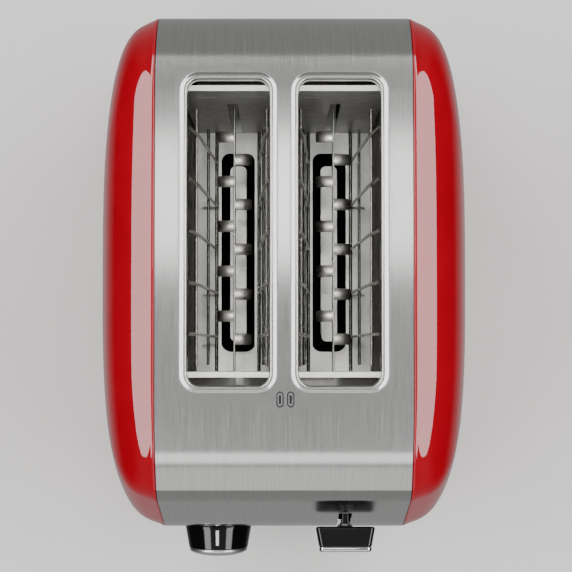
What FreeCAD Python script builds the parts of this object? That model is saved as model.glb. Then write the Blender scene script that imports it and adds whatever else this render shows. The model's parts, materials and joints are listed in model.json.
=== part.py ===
import FreeCAD, Part
import math
import os

os.makedirs("parts", exist_ok=True)

# Two-slot pop-up toaster, millimetres.
# Frame: +X to the right seen from the front, +Y to the rear, +Z up.
# Origin: under the middle of the whole object, on the surface it stands on.

# Overall sizes
body_length = 258.0          # steel band, front face to rear face
top_z = 200.0                # flat top of the steel band above the table
band_width = 120.5           # steel band, seam to seam
cap_bulge = 32.0             # how far each side cover stands out of the band
gland_reach = 3.0            # cord gland's flange behind the rear face
foot_height = 6.0
band_bottom_z = 11.0         # lower edge of the steel band
outline_bottom_z = 8.0       # lower edge of the side covers

# Side outline of the band and covers, as distances from the front, rear and top
break_down = 82.0            # the front and rear are upright below this distance from the top
front_shoulder_in = 20.75
front_shoulder_down = 17.4
front_top_in = 49.7
rear_top_in = 8.95
break_radius = 120.0
front_shoulder_radius = 18.0
front_top_radius = 96.0
rear_top_radius = 40.0
foot_edge_radius = 2.5

# Sheet and wall thicknesses
band_sheet = 0.8
cap_wall = 2.4
cap_edge_slope = 0.267         # how soon each cover turns in from the seam
cover_sections = 12
pan_wall = 2.5
frame_sheet = 0.8
board_thickness = 1.0

# Bread slots
slot_width = 38.1
slot_length = 143.0
slot_spacing = 52.0          # centre to centre
slot_corner_radius = 5.5
slot_to_rear = 112.0         # slot centre to the rear face
rim_width = 3.2
rim_rise = 0.9
rim_drop = 3.5
rim_root = 1.2               # rims start this far below the flat top
rim_edge_radius = 0.81

# Toasting chamber
floor_z = 22.0               # top of the chamber floor
chamber_front_in = 67.0      # front end plate, ahead of the slot centre
chamber_rear_in = 69.0       # rear end plate, behind the slot centre
chamber_wall_in = 4.05       # chamber's side plates inside the band's edges
end_plate_down = 7.0         # end plates below the top
end_hem_width = 1.8
end_hem_height = 3.0
travel_slot_width = 5.4
travel_slot_rise = 37.0      # travel slots above the lifters
travel_slot_bottom_z = 27.0
vent_slit_down = 41.0
vent_slit_height = 1.2
vent_slit_length = 9.0
vent_slit_offset = 11.8
side_plate_overrun = 4.0     # side plates past the end plates
side_plate_down = 6.0        # side plates below the end plates' tops
side_vent_count = 5
side_vent_pitch = 26.0
side_vent_length = 18.0
side_vent_height = 3.0
side_vent_rise = 18.0        # lower vents above the floor
side_vent_down = 30.0        # upper vents below the top
floor_front_reach = 114.0    # chamber floor's front edge, ahead of the slot centre
floor_rear_reach = 90.0
crumb_opening_width = 19.0
crumb_opening_length = 114.5
crumb_opening_radius = 4.5
drain_length = 9.4
drain_width = 2.3
drain_offset = 15.6
drain_places = (25.5, -24.5, -53.0)

# Heater boards and their ribbon
heater_offset = 24.0         # board centre from slot centre
heater_down = 22.0
ribbon_count = 9
ribbon_first_z = 46.0
ribbon_last_down = 16.0      # last turn below the board's top
ribbon_height = 2.0
ribbon_thickness = 0.25
ribbon_end_gap = 5.0
ribbon_end_wall = 0.6

# Bread guards
wire_radius = 0.8
hinge_radius = 1.0
guard_bend_radius = 40.0
guard_hinge_z = 26.5
guard_hinge_offset = 12.0    # hinge rod from slot centre
guard_knee_down = 53.0
guard_knee_offset = 16.2
guard_tip_down = 14.0
guard_tip_offset = 19.6
guard_low_wire_z = 70.0
guard_wire_count = 5
guard_wire_pitch = 24.7
guard_wire_shift = 2.0       # middle upright behind the slot centre
guard_long_clear = 4.0       # long wires stop short of the end plates
guard_hinge_overrun = 2.0    # hinge rod past each end plate
weld_sink = 0.2
hinge_clearance = 0.08

# Bread lifters and their tabs
lifter_down = 100.0          # lifters below the top
lifter_height = 9.0
lifter_thickness = 1.0
lifter_rear_overrun = 11.0   # tail behind the rear end plate
tab_reach = 9.2
tab_width = 6.0
tab_thickness = 0.8
tab_drop = 2.6
tab_pitch = 23.6
tab_count = 5
tab_right_shift = -2.1       # middle right-hand tab from the slot centre
tab_left_shift = 10.0

# Carriage, guide rod and lever
carriage_in = 83.5           # carriage plate's rear face, ahead of the slot centre
carriage_thickness = 1.6
carriage_half_width = 33.0
carriage_height = 21.0
carriage_rise = 8.0          # carriage plate above the lifters
lever_travel = 58.0
lever_lean_deg = 7.0         # the guide rod leans with the front face
guide_x = 2.0
guide_radius = 3.0
guide_clearance = 0.06
hub_radius = 6.2
hub_height = 18.0
hub_gap = 12.0               # guide rod ahead of the carriage plate
web_half_width = 3.0
web_half_height = 6.0
tab_sheet = 1.2
bracket_down = 4.0           # bracket plate below the guide rod's top
bracket_side = 10.0          # bracket plate past the guide rod
bracket_ahead = 8.0
bracket_flange = 12.0
bracket_sheet = 1.2
guide_down = 16.0
lever_x = 30.3
lever_down = 55.0
arm_thickness = 3.6
arm_height = 8.0
neck_length = 7.0
arm_root_rise = 2.0
arm_root_length = 10.0
arm_bend_length = 22.0
arm_top_length = 16.0
head_back_width = 29.1
head_front_width = 25.6
head_height = 14.0
head_depth = 10.0
head_gap = 5.1               # head's back, ahead of the sloping front face
head_taper = 0.6             # head's front is this much lower than its back
neck_sink = 2.0
plate_edge_radius = 0.9
head_corner_radius = 2.2
plate_thickness = 2.4
lever_slot_width = 6.4
lever_slot_margin = 3.5

# Lift spring
spring_x = 16.0
spring_radius = 4.0
spring_wire_radius = 0.5
spring_pitch = 2.6
spring_gap = 9.0             # spring axis ahead of the carriage plate
spring_tab_width = 7.0

# Hold-down magnet
magnet_x = -25.0
magnet_width = 22.0
magnet_depth = 12.0
magnet_leg = 5.0
magnet_base = 4.0
coil_wall = 3.2
coil_clearance = 0.6         # coil ahead of the lowered carriage plate
coil_top_gap = 2.0
coil_corner_radius = 2.0
keeper_rise = 9.0            # keeper above the carriage plate's lower edge
keeper_thickness = 2.6
keeper_air_gap = 0.4

# Control board and front controls
board_gap = 14.0             # board's front face behind the front face
board_edge_in = 4.25         # board's left edge inside the band's edge
board_right = 12.0
board_sheet = 1.6
board_bottom_z = 12.0
board_top_z = 104.0
knob_x = -35.5
knob_z = 60.0
knob_back_radius = 18.0
knob_front_radius = 15.9
knob_back_gap = 3.4          # knob's back ahead of the front face
knob_depth = 12.6
knob_shell = 2.0
bezel_radius = 19.4
bezel_inner_radius = 8.0
bezel_depth = 3.0
knob_bezel_draft = 0.8
bezel_edge_radius = 0.9
knob_cap_lip = 1.0
knob_cap_rise = 4.5          # whole height of the domed cap
knob_hub_wall = 2.2
pot_radius = 9.0
pot_depth = 7.0
pot_shaft_radius = 3.0
pot_bore_depth = 4.0
pot_end_gap = 0.4
pointer_width = 1.6
pointer_length = 7.6
pointer_height = 0.5
pointer_start = 2.2          # pointer's rear end from the knob's back
button_x = 0.0
button_z = 75.5
button_radius = 4.2
button_reach = 2.6
button_bezel_radius = 5.6
button_bezel_depth = 1.6
button_travel = 1.2
button_flange_radius = 5.2
button_clearance = 0.25
button_edge_radius = 0.8
button_stem_radius = 1.8
button_flange_sheet = 1.2
button_sheet_gap = 0.4
button_bezel_edge = 0.6
stem_gap = 0.1
switch_size = 6.0
plunger_length = 1.0
plunger_radius = 1.6
# Relay, chip and two diodes: left, bottom (from the board's corner), width, height, depth
board_blocks = ((4, 58, 18, 22, 15), (26, 22, 22, 10, 3.5), (6, 16, 10, 4, 4), (6, 24, 10, 4, 4))
capacitor_place = (38.0, 72.0)
capacitor_length = 18.0
capacitor_radius = 6.0
# Mains switch that the carriage works: left edge, width, depth, height, gap to the carriage plate
mains_switch_x = 38.0
mains_switch_width = 14.0
mains_switch_depth = 18.0
mains_switch_height = 20.0
mains_switch_gap = 8.0

# Base, feet, crumb tray, cord gland
pan_clearance = 0.3
pan_top_z = 20.0
pan_end_gap = 2.0
pan_corner_radius = 6.0
post_in = 5.0                # board posts inside the board's edges
post_half = 2.5
foot_radius = 9.0
foot_in_side = 18.25
foot_edge_round = 1.2
foot_in_front = 34.0
foot_in_rear = 30.0
boss_radius = 3.0
boss_in = 6.85
boss_half_spacing = 60.0
tray_in = 10.75              # tray's sides inside the band's edges
tray_z = 12.0
tray_sheet = 0.8
tray_wall_height = 5.0
tray_front_reach = 84.0      # tray's front edge, ahead of the slot centre
tray_rib_width = 8.8
tray_rib_length = 100.0
tray_rib_top_z = 20.6
tray_rail_in = 16.25
tray_rail_half_width = 1.0
tray_rib_radius = 3.0
tray_lift = 0.1              # gap between the tray and its rails
tray_opening_in = 8.25
tray_opening_top_z = 21.8
tray_handle_depth = 7.0
tray_handle_lip = 2.0
handle_clearance = 0.5
handle_scoop_radius = 4.5    # finger scoop along the handle's lower edge
handle_edge_radius = 0.6
gland_in = 20.25
gland_z = 36.0
gland_flange_radius = 8.0
gland_body_radius = 6.0
gland_bore_radius = 3.6
gland_inner_length = 9.0
gland_edge_radius = 1.0
nut_depth = 3.0
nut_wall = 2.5
terminal_gap = 2.0           # terminal block ahead of the floor's rear edge
terminal_width = 20.0
terminal_depth = 12.0
terminal_height = 12.0
screw_radius = 1.4
screw_head_radius = 2.6
screw_head_height = 1.2
base_screw_length = 8.0
floor_screw_length = 6.0

# Places that follow from the sizes
half_band = band_width / 2
break_z = top_z - break_down
knob_reach = knob_back_gap + knob_depth + knob_cap_rise
chamber_half_width = half_band - chamber_wall_in
end_plate_top_z = top_z - end_plate_down
lifter_top_z = top_z - lifter_down
travel_slot_top_z = lifter_top_z + travel_slot_rise
vent_slit_z = top_z - vent_slit_down
heater_top_z = top_z - heater_down
ribbon_pitch = (heater_top_z - ribbon_last_down - ribbon_first_z) / (ribbon_count - 1)
guard_knee_z = top_z - guard_knee_down
guard_tip_z = top_z - guard_tip_down
carriage_top_z = lifter_top_z + carriage_rise
carriage_bottom_z = carriage_top_z - carriage_height
keeper_z = carriage_bottom_z + keeper_rise
guide_top_z = top_z - guide_down
lever_z = top_z - lever_down
board_left = board_edge_in - half_band
foot_in_x = half_band - foot_in_side
boss_x = half_band - boss_in
tray_half_width = half_band - tray_in
tray_rail_x = half_band - tray_rail_in
tray_opening_half_width = half_band - tray_opening_in
gland_x = half_band - gland_in
total_length = body_length + knob_reach + gland_reach
front_y = knob_reach - total_length / 2
rear_y = front_y + body_length
slot_y = rear_y - slot_to_rear
slot_half_spacing = slot_spacing / 2
front_plate_y = slot_y - chamber_front_in
rear_plate_y = slot_y + chamber_rear_in
carriage_y = slot_y - carriage_in
guide_y = carriage_y - carriage_thickness - hub_gap
guide_z = (carriage_top_z + carriage_bottom_z) / 2
board_y = front_y + board_gap
lean = math.radians(lever_lean_deg)
lowered_dy = -lever_travel * math.sin(lean)
lowered_dz = -lever_travel * math.cos(lean)
magnet_height = keeper_z + lowered_dz - keeper_air_gap - floor_z


def vec(x, y, z):
    return FreeCAD.Vector(x, y, z)


def block(x0, x1, y0, y1, z0, z1):
    return Part.makeBox(x1 - x0, y1 - y0, z1 - z0, vec(x0, y0, z0))


def rod(start, end, radius):
    axis = end.sub(start)
    return Part.makeCylinder(radius, axis.Length, start, axis)


def joined(shapes):
    first = shapes[0]
    if len(shapes) == 1:
        return first
    return first.fuse(shapes[1:]).removeSplitter()


def without(shape, tools):
    return shape.cut(tools)


def group(shapes):
    return Part.makeCompound(shapes)


def export(node, shape):
    shape.exportStep("parts/" + node + ".step")


# A closed wire of straight runs with a tangent arc of the given radius at each corner
def rounded_wire(points, radii):
    starts = []
    edges = []
    count = len(points)
    for index in range(count):
        corner = points[index]
        back = points[index - 1].sub(corner).normalize()
        ahead = points[(index + 1) % count].sub(corner).normalize()
        half_angle = back.getAngle(ahead) / 2
        reach = radii[index] / math.tan(half_angle)
        sink = radii[index] / math.sin(half_angle) - radii[index]
        middle = corner + (back + ahead).normalize() * sink
        first = corner + back * reach
        last = corner + ahead * reach
        edges.append(Part.Arc(first, middle, last).toShape())
        starts.append((first, last))
    for index in range(count):
        last = starts[index][1]
        following = starts[(index + 1) % count][0]
        if last.distanceToPoint(following) > 0.001:
            edges.append(Part.LineSegment(last, following).toShape())
    return Part.Wire(Part.sortEdges(edges)[0])


# Rounded rectangle in a level plane
def level_rectangle(centre_x, centre_y, z, width, length, radius):
    half_w = width / 2
    half_l = length / 2
    corners = [(-half_w, -half_l), (half_w, -half_l), (half_w, half_l), (-half_w, half_l)]
    points = [vec(centre_x + x, centre_y + y, z) for x, y in corners]
    return rounded_wire(points, [radius] * 4)


# Rounded rectangle in an upright plane that faces the front
def upright_rectangle(centre_x, y, centre_z, width, height, radius):
    half_w = width / 2
    half_h = height / 2
    corners = [(-half_w, -half_h), (half_w, -half_h), (half_w, half_h), (-half_w, half_h)]
    points = [vec(centre_x + x, y, centre_z + z) for x, z in corners]
    return rounded_wire(points, [radius] * 4)


def prism(wire, direction):
    return Part.Face(wire).extrude(direction)


# Corners of a convex outline moved inwards by the same distance from every side
def inset_corners(corners, inset):
    moved = []
    count = len(corners)
    for index in range(count):
        corner = corners[index]
        back = corners[index - 1].sub(corner).normalize()
        ahead = corners[(index + 1) % count].sub(corner).normalize()
        half_angle = back.getAngle(ahead) / 2
        moved.append(corner + (back + ahead).normalize() * (inset / math.sin(half_angle)))
    return moved


# The side outline shared by the steel band and the side covers, at x:
# inset moves every side inwards, and shrink then scales it about its middle
def side_outline(x, inset=0.0, shrink=1.0):
    corners = [
        vec(x, front_y, outline_bottom_z),
        vec(x, front_y, break_z),
        vec(x, front_y + front_shoulder_in, top_z - front_shoulder_down),
        vec(x, front_y + front_top_in, top_z),
        vec(x, rear_y - rear_top_in, top_z),
        vec(x, rear_y, break_z),
        vec(x, rear_y, outline_bottom_z),
    ]
    radii = [foot_edge_radius, break_radius, front_shoulder_radius, front_top_radius]
    radii += [rear_top_radius, break_radius, foot_edge_radius]
    middle = vec(x, (front_y + rear_y) / 2, (top_z + outline_bottom_z) / 2)
    points = [middle + (point - middle) * shrink for point in inset_corners(corners, inset)]
    return rounded_wire(points, [(radius - inset) * shrink for radius in radii])


# Depth of the sloping upper front behind the front face, at a height above the break
def front_slope(z):
    rise = top_z - front_shoulder_down - break_z
    return front_shoulder_in * (z - break_z) / rise


def make_steel_band():
    outer = prism(side_outline(-half_band), vec(band_width, 0, 0))
    inner = prism(side_outline(-half_band - 1, band_sheet), vec(band_width + 2, 0, 0))
    below = block(-half_band, half_band, front_y - 1, rear_y + 1, 0, band_bottom_z)
    shell = outer.cut([inner, below])
    rims = []
    holes = []
    for side in (-1, 1):
        x = side * slot_half_spacing
        rim_wire = level_rectangle(x, slot_y, top_z - rim_root, slot_width + 2 * rim_width,
                                   slot_length + 2 * rim_width, slot_corner_radius + rim_width)
        rim = prism(rim_wire, vec(0, 0, rim_root + rim_rise))
        crown = [edge for edge in rim.Edges if edge.BoundBox.ZMin > top_z + rim_rise - 0.01]
        rims.append(rim.makeFillet(rim_edge_radius, crown))
        lip_wire = level_rectangle(x, slot_y, top_z - rim_drop, slot_width + 2 * band_sheet,
                                   slot_length + 2 * band_sheet, slot_corner_radius + band_sheet)
        rims.append(prism(lip_wire, vec(0, 0, rim_drop + rim_rise / 2)))
        hole_wire = level_rectangle(x, slot_y, top_z - 2 * rim_drop, slot_width, slot_length,
                                    slot_corner_radius)
        holes.append(prism(hole_wire, vec(0, 0, 4 * rim_drop)))
    slot_top = lever_z + arm_height / 2 + lever_slot_margin
    slot_bottom = lever_z - arm_height / 2 + lowered_dz - lever_slot_margin
    lever_wire = upright_rectangle(lever_x, front_y - 1, (slot_top + slot_bottom) / 2, lever_slot_width,
                                   slot_top - slot_bottom, lever_slot_width / 2 - 0.01)
    holes.append(prism(lever_wire, vec(0, front_shoulder_in + 4, 0)))
    holes.append(rod(vec(knob_x, front_y - 1, knob_z), vec(knob_x, front_y + 3, knob_z), bezel_inner_radius))
    holes.append(rod(vec(button_x, front_y - 1, button_z), vec(button_x, front_y + 3, button_z),
                     button_radius + button_clearance))
    holes.append(rod(vec(gland_x, rear_y - 3, gland_z), vec(gland_x, rear_y + 1, gland_z), gland_body_radius))
    holes.append(block(-tray_opening_half_width, tray_opening_half_width, rear_y - 4, rear_y + 1,
                       band_bottom_z - 1, tray_opening_top_z))
    return shell.fuse(rims).cut(holes).removeSplitter()


# A domed cover: sections of the side outline shrink towards its middle as they move out.
# The rise at relative radius r is bulge * (1 - r**2.2) ** (1 / 3).
def cover_solid(side, wall, overrun):
    sections = [side_outline(side * (half_band - overrun), wall)] if overrun else []
    for index in range(cover_sections):
        rise = math.sin(math.pi / 2 * index / cover_sections)
        shrink = (1 - cap_edge_slope * rise * (1 - rise) ** 2 - rise ** 3) ** (1 / 2.2)
        x = side * (half_band + rise * (cap_bulge - wall))
        sections.append(side_outline(x, wall, shrink))
    return Part.makeLoft(sections, True, True)


def make_cover(side):
    return cover_solid(side, 0.0, 0.0).cut(cover_solid(side, cap_wall, 1.0))


def make_base_pan():
    inner_front = front_y + band_sheet + pan_clearance
    inner_rear = rear_y - band_sheet - pan_clearance
    half_x = half_band - pan_clearance
    plate_wire = level_rectangle(0, (front_y + rear_y) / 2, foot_height, 2 * half_x,
                                 body_length - 2 * pan_end_gap, pan_corner_radius)
    plate = prism(plate_wire, vec(0, 0, pan_wall))
    wall = block(-half_x, half_x, inner_front, inner_rear, foot_height + pan_wall, pan_top_z)
    hollow = block(-half_x + pan_wall, half_x - pan_wall, inner_front + pan_wall,
                   inner_rear - pan_wall, foot_height + pan_wall, pan_top_z)
    pieces = [plate, wall.cut(hollow)]
    for side in (-1, 1):
        for y in boss_places():
            pieces.append(rod(vec(side * boss_x, y, foot_height + pan_wall),
                              vec(side * boss_x, y, floor_z - frame_sheet), boss_radius))
        rail_x = side * tray_rail_x
        pieces.append(block(rail_x - tray_rail_half_width, rail_x + tray_rail_half_width,
                            slot_y - tray_front_reach, rear_y - tray_handle_depth - handle_clearance,
                            foot_height + pan_wall, tray_z - tray_lift))
    for x in (board_left + post_in, board_right - post_in):
        pieces.append(block(x - post_half, x + post_half, board_y - post_half, board_y + 2 * post_half,
                            foot_height + pan_wall, board_bottom_z))
    opening = block(-tray_opening_half_width, tray_opening_half_width, inner_rear - pan_wall - 1,
                    rear_y + 1, band_bottom_z, pan_top_z + 1)
    return joined(pieces).cut([opening] + base_screw_solids() + floor_screw_solids())


def boss_places():
    return (slot_y - boss_half_spacing, slot_y + boss_half_spacing)


def screw_places():
    return [(side * boss_x, y) for side in (-1, 1) for y in boss_places()]


def base_screw_solids():
    return screw_solids(foot_height, 1, base_screw_length)


def floor_screw_solids():
    return screw_solids(floor_z + screw_head_height, -1, floor_screw_length)


# Screws along Z with their heads at head_z; up is 1 when the shank points up
def screw_solids(head_z, up, shank):
    screws = []
    for x, y in screw_places():
        base = vec(x, y, head_z)
        neck = vec(x, y, head_z + up * screw_head_height)
        tip = vec(x, y, head_z + up * shank)
        screws.append(joined([rod(base, neck, screw_head_radius), rod(neck, tip, screw_radius)]))
    return screws


def make_foot(x, y):
    foot = Part.makeCylinder(foot_radius, foot_height, vec(x, y, 0))
    lower = [edge for edge in foot.Edges if edge.BoundBox.ZMax < 0.01]
    return foot.makeFillet(foot_edge_round, lower)


def make_crumb_tray():
    front = slot_y - tray_front_reach
    rear = rear_y - tray_handle_depth
    plate = block(-tray_half_width, tray_half_width, front, rear, tray_z, tray_z + tray_sheet)
    outer = block(-tray_half_width, tray_half_width, front, rear, tray_z, tray_z + tray_wall_height)
    inner = block(-tray_half_width + tray_sheet, tray_half_width - tray_sheet, front + tray_sheet,
                  rear - tray_sheet, tray_z, tray_z + tray_wall_height)
    pieces = [plate, outer.cut(inner)]
    for side in (-1, 1):
        rib_wire = level_rectangle(side * slot_half_spacing, slot_y, tray_z, tray_rib_width,
                                   tray_rib_length, tray_rib_radius)
        pieces.append(prism(rib_wire, vec(0, 0, tray_rib_top_z - tray_z)))
    return joined(pieces)


def make_tray_handle():
    half = tray_opening_half_width - handle_clearance
    low = band_bottom_z + handle_clearance
    high = tray_opening_top_z - handle_clearance
    bar = block(-half, half, rear_y - tray_handle_depth, rear_y + tray_handle_lip, low, high)
    scoop = rod(vec(-half / 2, rear_y + tray_handle_lip + 1, low - 1),
                vec(half / 2, rear_y + tray_handle_lip + 1, low - 1), handle_scoop_radius)
    shaped = bar.cut(scoop)
    outer = [edge for edge in shaped.Edges if edge.BoundBox.YMin > rear_y + tray_handle_lip - 0.01]
    return shaped.makeFillet(handle_edge_radius, outer)


def make_chamber_floor():
    front = slot_y - floor_front_reach
    rear = slot_y + floor_rear_reach
    half_x = chamber_half_width + frame_sheet
    plate = block(-half_x, half_x, front, rear, floor_z - frame_sheet, floor_z)
    cuts = []
    for side in (-1, 1):
        x = side * slot_half_spacing
        opening = level_rectangle(x, slot_y, floor_z - 2, crumb_opening_width, crumb_opening_length,
                                  crumb_opening_radius)
        cuts.append(prism(opening, vec(0, 0, 4)))
        for across in (-1, 1):
            for along in drain_places:
                hole = level_rectangle(x + across * drain_offset, slot_y + along, floor_z - 2,
                                       drain_length, drain_width, drain_width / 2 - 0.01)
                cuts.append(prism(hole, vec(0, 0, 4)))
    cuts += floor_screw_solids()
    return plate.cut(cuts)


# An end plate of the chamber, from y0 to y1, with its hem on the chamber side
def make_end_plate(y0, y1, hem_y0, hem_y1):
    half_x = chamber_half_width
    plate = block(-half_x, half_x, y0, y1, floor_z, end_plate_top_z)
    hem = block(-half_x, half_x, hem_y0, hem_y1, end_plate_top_z - end_hem_height, end_plate_top_z)
    cuts = []
    for side in (-1, 1):
        x = side * slot_half_spacing
        cuts.append(block(x - travel_slot_width / 2, x + travel_slot_width / 2, y0 - 1, y1 + 1,
                          travel_slot_bottom_z, travel_slot_top_z))
        for across in (-1, 1):
            slit_x = x + across * vent_slit_offset
            cuts.append(block(slit_x - vent_slit_length / 2, slit_x + vent_slit_length / 2, y0 - 1, y1 + 1,
                              vent_slit_z - vent_slit_height / 2, vent_slit_z + vent_slit_height / 2))
            hinge_x = x + across * guard_hinge_offset
            cuts.append(rod(vec(hinge_x, y0 - 1, guard_hinge_z), vec(hinge_x, y1 + 1, guard_hinge_z),
                            hinge_radius + hinge_clearance))
    return joined([plate, hem]).cut(cuts)


def make_side_frame(side):
    inner = chamber_half_width
    outer = chamber_half_width + frame_sheet
    low, high = sorted((side * inner, side * outer))
    plate = block(low, high, front_plate_y - side_plate_overrun, rear_plate_y + side_plate_overrun,
                  floor_z, end_plate_top_z - side_plate_down)
    vents = []
    for index in range(side_vent_count):
        y = slot_y + (index - (side_vent_count - 1) / 2) * side_vent_pitch
        for z in (floor_z + side_vent_rise, top_z - side_vent_down):
            vents.append(block(low - 1, high + 1, y - side_vent_length / 2, y + side_vent_length / 2,
                               z, z + side_vent_height))
    return plate.cut(vents)


def ribbon_rings(board_x):
    half = board_thickness / 2
    y0 = front_plate_y + ribbon_end_gap
    y1 = rear_plate_y - ribbon_end_gap
    rings = []
    for index in range(ribbon_count):
        z0 = ribbon_first_z + index * ribbon_pitch
        z1 = z0 + ribbon_height
        outer = block(board_x - half - ribbon_thickness, board_x + half + ribbon_thickness, y0, y1, z0, z1)
        inner = block(board_x - half, board_x + half, y0 + ribbon_end_wall, y1 - ribbon_end_wall, z0, z1)
        rings.append(outer.cut(inner))
    return rings


def make_heater(board_x):
    half = board_thickness / 2
    board = block(board_x - half, board_x + half, front_plate_y, rear_plate_y, floor_z, heater_top_z)
    rings = ribbon_rings(board_x)
    return board.cut(rings), group(rings)


# A round wire from start to end with one bend at the corner
def bent_wire(start, corner, end, bend_radius, radius):
    back = start.sub(corner).normalize()
    ahead = end.sub(corner).normalize()
    half_angle = back.getAngle(ahead) / 2
    reach = bend_radius / math.tan(half_angle)
    sink = bend_radius / math.sin(half_angle) - bend_radius
    first = corner + back * reach
    last = corner + ahead * reach
    middle = corner + (back + ahead).normalize() * sink
    path = Part.Wire([Part.LineSegment(start, first).toShape(), Part.Arc(first, middle, last).toShape(),
                      Part.LineSegment(last, end).toShape()])
    section = Part.Wire(Part.makeCircle(radius, start, first.sub(start)))
    return path.makePipeShell([section], True, False)


# A hinged wire guard beside the slot centre x; out is the direction of the heater board
def make_guard(x, out):
    hinge = vec(x + out * guard_hinge_offset, 0, guard_hinge_z)
    knee = vec(x + out * guard_knee_offset, 0, guard_knee_z)
    tip = vec(x + out * guard_tip_offset, 0, guard_tip_z)
    pieces = []
    reach = vec(0, front_plate_y - frame_sheet - guard_hinge_overrun, 0)
    far = vec(0, rear_plate_y + frame_sheet + guard_hinge_overrun, 0)
    pieces.append(rod(hinge + reach, hinge + far, hinge_radius))
    for index in range(guard_wire_count):
        place = index - (guard_wire_count - 1) / 2
        shift = vec(0, slot_y + guard_wire_shift + place * guard_wire_pitch, 0)
        pieces.append(bent_wire(hinge + shift, knee + shift, tip + shift, guard_bend_radius, wire_radius))
    share = (guard_low_wire_z - guard_hinge_z) / (guard_knee_z - guard_hinge_z)
    low = hinge + (knee - hinge) * share
    outward = vec(out * (2 * wire_radius - weld_sink), 0, 0)
    for level in (low, knee):
        start = level + outward + vec(0, front_plate_y + guard_long_clear, 0)
        end = level + outward + vec(0, rear_plate_y - guard_long_clear, 0)
        pieces.append(rod(start, end, wire_radius))
    return pieces[0].fuse(pieces[1:])


def make_lifter(x):
    half = lifter_thickness / 2
    plate = block(x - half, x + half, carriage_y, rear_plate_y + lifter_rear_overrun,
                  lifter_top_z - lifter_height, lifter_top_z)
    pieces = [plate]
    for side, shift in ((-1, tab_left_shift), (1, tab_right_shift)):
        for index in range(tab_count):
            y = slot_y + shift + (index - (tab_count - 1) / 2) * tab_pitch
            x0, x1 = sorted((x, x + side * tab_reach))
            pieces.append(block(x0, x1, y - tab_width / 2, y + tab_width / 2,
                                lifter_top_z - tab_thickness, lifter_top_z))
            edge0, edge1 = sorted((x + side * (tab_reach - tab_thickness), x + side * tab_reach))
            pieces.append(block(edge0, edge1, y - tab_width / 2, y + tab_width / 2,
                                lifter_top_z - tab_drop, lifter_top_z))
    return joined(pieces)


def leaning(shape, pivot_y, pivot_z):
    turned = shape.copy()
    turned.rotate(vec(0, pivot_y, pivot_z), vec(1, 0, 0), -lever_lean_deg)
    return turned


def guide_solid(radius, z0, z1):
    straight = Part.makeCylinder(radius, z1 - z0, vec(guide_x, guide_y, z0))
    return leaning(straight, guide_y, guide_z)


def make_carriage():
    front = carriage_y - carriage_thickness
    plate = block(-carriage_half_width, carriage_half_width, front, carriage_y,
                  carriage_bottom_z, carriage_top_z)
    hub = guide_solid(hub_radius, guide_z - hub_height / 2, guide_z + hub_height / 2)
    web = block(guide_x - web_half_width, guide_x + web_half_width, guide_y, front, guide_z - web_half_height,
                guide_z + web_half_height)
    spring_y = front - spring_gap
    tab = block(spring_x - spring_tab_width / 2, spring_x + spring_tab_width / 2, spring_y - spring_radius,
                carriage_y, carriage_top_z - tab_sheet, carriage_top_z)
    bore = guide_solid(guide_radius + guide_clearance, 0, top_z)
    return joined([plate, hub, web, tab]).cut(bore)


def make_guide_rod():
    long_rod = guide_solid(guide_radius, -guide_down, top_z)
    keep = block(-half_band, half_band, front_y, rear_y, floor_z, guide_top_z)
    return long_rod.common(keep)


def make_guide_bracket():
    top_y = guide_y + (guide_top_z - guide_z) * math.tan(lean)
    plate_z = guide_top_z - bracket_down
    left = guide_x - bracket_side
    right = spring_x + 2 * spring_radius
    behind = front_plate_y - frame_sheet
    plate = block(left, right, top_y - bracket_ahead, behind, plate_z, plate_z + bracket_sheet)
    flange = block(left, right, behind - bracket_sheet, behind, plate_z - bracket_flange, plate_z)
    return joined([plate, flange]).cut(guide_solid(guide_radius, 0, top_z))


def make_lift_spring():
    bottom = carriage_top_z + spring_wire_radius
    height = guide_top_z - bracket_down - spring_wire_radius - bottom
    y = carriage_y - carriage_thickness - spring_gap
    helix = Part.makeHelix(spring_pitch, height, spring_radius)
    helix.translate(vec(spring_x, y, bottom))
    section = Part.Wire(Part.makeCircle(spring_wire_radius, vec(spring_x + spring_radius, y, bottom),
                                        vec(0, 1, 0)))
    return Part.Wire(helix.Edges).makePipeShell([section], True, True)


def head_back_y():
    return front_y + front_slope(lever_z) - head_gap


def make_lever_arm():
    front = carriage_y - carriage_thickness
    end_y = head_back_y() + neck_length
    low = lever_z - arm_height / 2
    high = lever_z + arm_height / 2
    root = carriage_bottom_z + arm_root_rise
    outline = [
        (front, root), (front - arm_root_length, root), (front - arm_bend_length, low), (end_y, low),
        (end_y, high), (front - arm_top_length, high), (front, carriage_top_z),
    ]
    points = [vec(lever_x - arm_thickness / 2, y, z) for y, z in outline]
    wire = Part.makePolygon(points + [points[0]])
    return prism(wire, vec(arm_thickness, 0, 0))


def make_lever_head():
    back = head_back_y()
    back_wire = upright_rectangle(lever_x, back, lever_z, head_back_width, head_height, head_corner_radius)
    front_wire = upright_rectangle(lever_x, back - head_depth, lever_z, head_front_width,
                                   head_height - head_taper, head_corner_radius)
    body = leaning(Part.makeLoft([back_wire, front_wire], True, True), back, lever_z)
    neck = block(lever_x - arm_thickness / 2, lever_x + arm_thickness / 2, back - neck_sink,
                 back + neck_length, lever_z - arm_height / 2, lever_z + arm_height / 2)
    return joined([body, neck])


def make_lever_plate():
    y = head_back_y() - head_depth
    wire = upright_rectangle(lever_x, y, lever_z, head_front_width, head_height - head_taper,
                             head_corner_radius)
    plate = prism(wire, vec(0, -plate_thickness, 0))
    front = [edge for edge in plate.Edges if edge.BoundBox.YMax < y - plate_thickness + 0.01]
    return leaning(plate.makeFillet(plate_edge_radius, front), head_back_y(), lever_z)


def magnet_middle_y():
    clear = coil_clearance + coil_wall + magnet_depth / 2
    return carriage_y - carriage_thickness + lowered_dy - clear


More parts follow.
